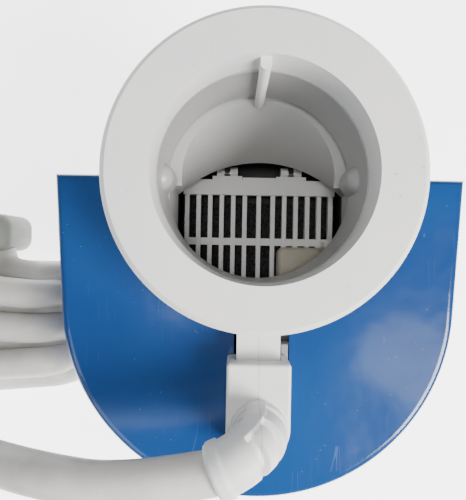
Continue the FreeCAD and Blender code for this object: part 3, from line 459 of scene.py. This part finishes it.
def plain(colour, second, rough, metal=0.0, scale=300.0, depth=0.00003, stretch=(1, 1, 1)):
    """A recipe for a grained or brushed material of two close colours."""

    def recipe(tree, place):
        grain = noise(tree, place, scale, 4.0, 0.6, stretch)
        blot = noise(tree, place, 60.0)
        return {
            "Base Color": mix(tree, blot.ramp(0.3, 0.7), colour, second),
            "Roughness": grain * 0.2 + (rough - 0.1),
            "Metallic": metal,
            "Normal": bump(tree, grain, depth),
        }

    return recipe


print("two recipes")

# %% [markdown]
# ## Foam, float and sheath
# The foam's pits are the cells of a Voronoi pattern; the float and the sheath have blotches and a fine grain.

# %% Foam, float and sheath
def foam_recipe(tree, place):
    """Open-cell foam: thin struts, with painted shade darkening the pits between them."""
    cells = shade(tree, "TexVoronoi", "Distance", Vector=place, Scale=900.0)
    return {
        # The pits take the darker colour: painted shade in the hollows.
        "Base Color": mix(tree, cells.ramp(0.2, 0.6), (0.008, 0.008, 0.009), (0.03, 0.03, 0.033)),
        "Roughness": 0.95,
        "Normal": bump(tree, cells, 0.0006),
    }


def float_recipe(tree, place):
    """Cream plastic, yellowed in blotches, with a dull skin."""
    blot = noise(tree, place, 120.0, 4.0)
    fine = noise(tree, place, 1800.0, 2.0)
    return {
        "Base Color": mix(tree, blot.ramp(0.3, 0.75), (0.46, 0.43, 0.34), (0.38, 0.35, 0.27)),
        "Roughness": blot * 0.2 + 0.35,
        "Normal": bump(tree, fine * 0.3 + blot * 0.7, 0.00006),
        "Subsurface Weight": 0.1,
        "Subsurface Radius": (0.002, 0.0016, 0.001),
    }


def sheath_recipe(tree, place):
    """The lead's PVC sheath: satin, with smudges and specks of dirt."""
    smudge = noise(tree, place, 70.0, 4.0)
    fine = noise(tree, place, 1500.0, 2.0)
    dirt = specks(tree, place, 260.0, 0.05) * smudge.above(0.5)
    colour = mix(tree, smudge.ramp(0.35, 0.75), (0.66, 0.64, 0.605), (0.52, 0.50, 0.47))
    colour = mix(tree, dirt * 0.4, colour, (0.3, 0.27, 0.22))
    return {
        "Base Color": colour,
        "Roughness": smudge * 0.18 + 0.34,
        "Normal": bump(tree, fine * 0.3 + smudge * 0.7, 0.00008),
        "Subsurface Weight": 0.05,
        "Subsurface Radius": (0.0012, 0.001, 0.0009),
    }


print("three recipes")

# %% [markdown]
# ## The rest of the materials
# A stretch squeezes the grain across an axis, so that it reads as brushing along it, or as rings round it.

# %% The rest of the materials
BRUSHED_X, BRUSHED_Y, RINGED_Y = (1, 12, 12), (6, 1, 6), (1, 6, 1)
BLUE = material("blue housing", blue_plastic)
BLACK = material("black moulding", plain((0.006, 0.006, 0.007), (0.012, 0.012, 0.013), 0.55))
GREY = material("grey latch", plain((0.30, 0.31, 0.31), (0.22, 0.23, 0.23), 0.4))
RUBBER = material("rubber", plain((0.02, 0.02, 0.02), (0.035, 0.035, 0.034), 0.8))
FOAM = material("foam", foam_recipe)
CREAM = material("cream float", float_recipe)
steel = plain((0.55, 0.55, 0.56), (0.45, 0.45, 0.46), 0.3, 1.0, 900.0, 0.00001, BRUSHED_X)
STEEL = material("steel", steel)
IRON = material("iron", plain((0.14, 0.13, 0.13), (0.2, 0.19, 0.18), 0.5, 1.0))
copper = plain((0.60, 0.27, 0.12), (0.50, 0.21, 0.09), 0.3, 1.0, 1500.0, 0.00004, RINGED_Y)
COPPER = material("copper", copper)
brass = plain((0.68, 0.50, 0.22), (0.58, 0.41, 0.17), 0.28, 1.0, 1200.0, 0.00001, BRUSHED_Y)
BRASS = material("brass", brass)
PLUG_GREY = material("plug body", plain((0.28, 0.29, 0.25), (0.23, 0.24, 0.21), 0.5, 0.0, 700.0, 0.00005))
SHEATH = material("lead sheath", sheath_recipe)
lead.data.materials.append(SHEATH)

print("materials:", len(bpy.data.materials))

# %% [markdown]
# ## Painting and soft edges
# A node takes its own paint if it has one, and else the paint of its class of material. The edges that can be
# seen are rounded by a bevel, whose width in millimetres is in the second table; faces are joined first.

# %% Painting and soft edges
PAINTS = {
    "collar_ring": WHITE_RING,
    "inlet_tube": SHADED_WHITE_TUBE,
    "inlet_chamber": SHADED_WHITE_CHUTE,
    "strainer_grate": WHITE_GRATE,
    "power_socket": WHITE_SOCKET,
    "plug_cap": WHITE_SOCKET,
    "bend_relief": WHITE_SOCKET,
    "blue_housing": BLUE,
    "release_latch": GREY,
    "foam_block": FOAM,
    "level_float": CREAM,
    "mains_plug": PLUG_GREY,
}
CLASS_PAINTS = {
    "black_plastic": BLACK,
    "grey_plastic": GREY,
    "seal_rubber": RUBBER,
    "steel": STEEL,
    "iron": IRON,
    "copper": COPPER,
    "brass": BRASS,
    "cream_plastic": CREAM,
    # Other white parts take the tube's white, with its painted shade.
    "white_plastic": SHADED_WHITE_TUBE,
}
EDGES = {
    "collar_ring": 0.35,
    "blue_housing": 0.25,
    "strainer_grate": 0.28,
    "power_socket": 0.5,
    "inlet_chamber": 0.3,
    "level_float": 1.6,
    "release_latch": 0.25,
    "mains_plug": 0.3,
    "hose_spigot": 0.4,
    "base_plate": 0.4,
    "rubber_feet": 0.5,
    "sump_tray": 0.4,
}
slots = {entry["node"]: entry["material_slot"] for entry in frame["record"]["subparts"]}
for name, piece in nodes.items():
    paint = PAINTS.get(name) or CLASS_PAINTS.get(slots[name], BLACK)
    for index in range(len(piece.material_slots)):
        piece.material_slots[index].material = paint
    if not piece.material_slots:
        piece.data.materials.append(paint)
    if name in EDGES:
        joined = piece.modifiers.new("joined faces", "WELD")
        joined.merge_threshold = 0.00001
        softened = piece.modifiers.new("soft edges", "BEVEL")
        softened.width = EDGES[name] * MM
        softened.segments = 3
        softened.limit_method = "ANGLE"
        softened.angle_limit = math.radians(35)
        softened.harden_normals = False
print("painted", len(nodes), "nodes")

# %% [markdown]
# ## Surfaces from a grid
# The bend relief and the glue bead are both a grid of points. The relief is a sleeve that follows the lead
# out of the plug: a short way up, round a quarter turn, and out. Its radius depends on the way along it and
# round it: `r(s, v) = ring(s)` in the three thick rings and the end collar, and `ring(s) - depth` in the
# grooves, except along two spines where the grooves stop.

# %% Surfaces from a grid
def smooth(values, low, high):
    """0 below low, 1 above high, and smooth between."""
    t = np.clip((values - low) / (high - low), 0, 1)
    return t * t * (3 - 2 * t)


def surface(name, grid):
    """A piece from a grid of points [along, round, xyz] in millimetres, closed round.

    The order of the grid's rows sets which way the faces look. Here they look inward in both pieces: right
    for the glue bead, which is seen from inside the tube, and a fault in the bend relief that is left.
    """
    along, around = grid.shape[:2]
    verts = grid.reshape(-1, 3) * MM
    faces = []
    for i in range(along - 1):
        for j in range(around):
            k = (j + 1) % around
            faces.append((i * around + j, i * around + k, (i + 1) * around + k, (i + 1) * around + j))
    mesh = bpy.data.meshes.new(name)
    mesh.from_pydata(verts.tolist(), [], faces)
    mesh.polygons.foreach_set("use_smooth", np.ones(len(faces), dtype=bool))
    mesh.update()
    piece = bpy.data.objects.new(name, mesh)
    bpy.context.scene.collection.objects.link(piece)
    return piece


print("surfaces are ready")

# %% [markdown]
# ## The bend relief's shape
# `relief_line` gives the centre line: up by the stub, round a quarter of a circle of radius 9, and out along
# the sleeve. `relief_radius` gives the rings, grooves, spines and collar, and the points are
# `line(s) + r(s, v) * (cos(v) * side + sin(v) * outward)`.

# %% Bend relief
GROOVES = ((2.6, 4.0), (6.6, 8.0), (10.4, 11.8))
RELIEF_LONG = RELIEF_STUB + RELIEF_BEND * math.pi / 2 + RELIEF_SLEEVE
side = np.cross(away, (0, 0, 1))


def relief_line(s):
    """The centre line at a way s along it, and the direction across it in the bend's plane."""
    angle = np.clip((s - RELIEF_STUB) / RELIEF_BEND, 0, math.pi / 2)
    point = relief_root + UP * min(s, RELIEF_STUB)
    point = point + UP * RELIEF_BEND * math.sin(angle) + away * RELIEF_BEND * (1 - math.cos(angle))
    point = point + away * max(s - RELIEF_STUB - RELIEF_BEND * math.pi / 2, 0)
    outward = UP * math.sin(angle) - away * math.cos(angle)
    return point, outward


def relief_radius(s, v):
    """r(s, v): rings, grooves between them, spines where the grooves stop, and the end collar."""
    base = 7.2 - 1.0 * smooth(s, 0, 13.5)
    groove = sum(smooth(s, a, a + 0.25) - smooth(s, b, b + 0.25) for a, b in GROOVES)
    spine = np.cos(v - 0.35) > 0.93
    opposite = np.cos(v - 0.35) < -0.93
    depth = np.where(spine | opposite, 0.1, 1.9)
    lift = 0.5 * (smooth(s, 16.6, 16.9) - smooth(s, RELIEF_LONG - 0.8, RELIEF_LONG))
    ridge = np.where(spine, 0.25 * (1 - smooth(s, 11.5, 12.5)), 0)
    return base - groove * depth + lift + ridge


stations = np.unique(np.concatenate([np.linspace(0, RELIEF_LONG, 70), np.arange(2.4, 12.2, 0.12)]))
angles = np.linspace(0, 2 * math.pi, 120, endpoint=False)
rows = []
for s in stations:
    point, outward = relief_line(s)
    radius = relief_radius(s, angles)[:, None]
    rows.append(point + radius * (np.cos(angles)[:, None] * side + np.sin(angles)[:, None] * outward))
end_point, end_outward = relief_line(RELIEF_LONG)
for radius in (5.6, 5.05, 4.0):
    rows.append(end_point + radius * (np.cos(angles)[:, None] * side + np.sin(angles)[:, None] * end_outward))
relief = surface("relief_sleeve", np.array(rows))
relief.data.materials.append(WHITE_SOCKET)
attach(relief, "lead")
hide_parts("bend_relief")
print("relief:", len(relief.data.vertices), "points,", round(RELIEF_LONG, 1), "mm long")

# %% [markdown]
# ## The glue bead
# Where the tube is glued into the collar a thin bead runs round. Its profile is a half-round swept round the
# bore, `r(u, v) = R - h(u) * cos(v)`, `z(u, v) = Z + w(u) * sin(v)`; its height and its width wander with the
# angle u, so that it looks squeezed out by hand.

# %% Glue bead
around = np.linspace(0, 2 * math.pi, 240, endpoint=False)
across = np.linspace(-math.pi / 2, math.pi / 2, 11)
wander = sum(np.sin(k * around + 1.7 * k * k) / k for k in (2, 3, 5, 8, 13, 21))
tall = 0.42 + 0.13 * wander
wide = 0.9 + 0.25 * np.roll(wander, 40)
height = ring_top * 1000 - 10.3 + 0.25 * np.roll(wander, 90)
rows = []
for v in across:
    radius = 27.02 - tall * math.cos(v)
    lift = height + wide * math.sin(v)
    rows.append(np.stack([radius * np.cos(around), radius * np.sin(around), lift], axis=1))
bead = surface("glue_bead", np.array(rows)[::-1])
# The bead takes the tube's white, with its painted shade.
bead.data.materials.append(SHADED_WHITE_TUBE)
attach(bead, "shell")
print("bead:", round(float(tall.min()), 2), "to", round(float(tall.max()), 2), "mm tall")

# %% [markdown]
# ## Floor, lights and world
# A pale floor that glows a little, a soft key light from the front right, a small panel that the gloss
# mirrors, a small lamp above for the inside of the tube, and a weak fill from the left.

# %% Floor, lights and world
floor_mesh = bpy.data.meshes.new("floor")
corners = [(-0.32, -0.26, 0), (0.2, -0.26, 0), (0.2, 0.22, 0), (-0.32, 0.22, 0)]
floor_mesh.from_pydata(corners, [], [(0, 1, 2, 3)])
floor = bpy.data.objects.new("floor", floor_mesh)
bpy.context.scene.collection.objects.link(floor)


def floor_recipe(tree, place):
    """White sweep with the faintest cloud."""
    cloud = noise(tree, place, 3.0, 2.0)
    tone = mix(tree, cloud, (0.93, 0.93, 0.93), (0.96, 0.96, 0.96))
    return {"Base Color": tone, "Roughness": 0.9, "Emission Color": tone, "Emission Strength": 3.3}


floor.data.materials.append(material("floor", floor_recipe))


def area_light(name, place, aim, size, power, colour=(1, 1, 1)):
    """A square soft box at a place, turned towards a point."""
    data = bpy.data.lights.new(name, "AREA")
    data.size = size
    data.energy = power
    data.color = colour
    lamp = bpy.data.objects.new(name, data)
    lamp.location = place
    lamp.rotation_euler = (Vector(aim) - Vector(place)).to_track_quat("-Z", "Y").to_euler()
    bpy.context.scene.collection.objects.link(lamp)
    return lamp


area_light("key", (0.47, -0.30, 0.50), (0, -0.03, 0.04), 0.36, 13.0, (1.0, 0.985, 0.96))
area_light("panel", (0.25, -0.17, 0.60), (0, -0.03, 0.04), 0.11, 0.16, (0.96, 0.98, 1.0))
area_light("above", (-0.03, 0.0, 0.45), (0, 0, 0.02), 0.08, 0.45, (1.0, 0.99, 0.97))
area_light("fill", (-0.5, -0.5, 0.6), (0, -0.03, 0.04), 0.5, 2.2, (0.9, 0.95, 1.0))
world = bpy.data.worlds.new("studio")
bpy.context.scene.world = world
world.use_nodes = True
world.node_tree.nodes["Background"].inputs["Color"].default_value = (0.90, 0.95, 1.0, 1)
world.node_tree.nodes["Background"].inputs["Strength"].default_value = 0.27

print("lights:", len(bpy.data.lights))
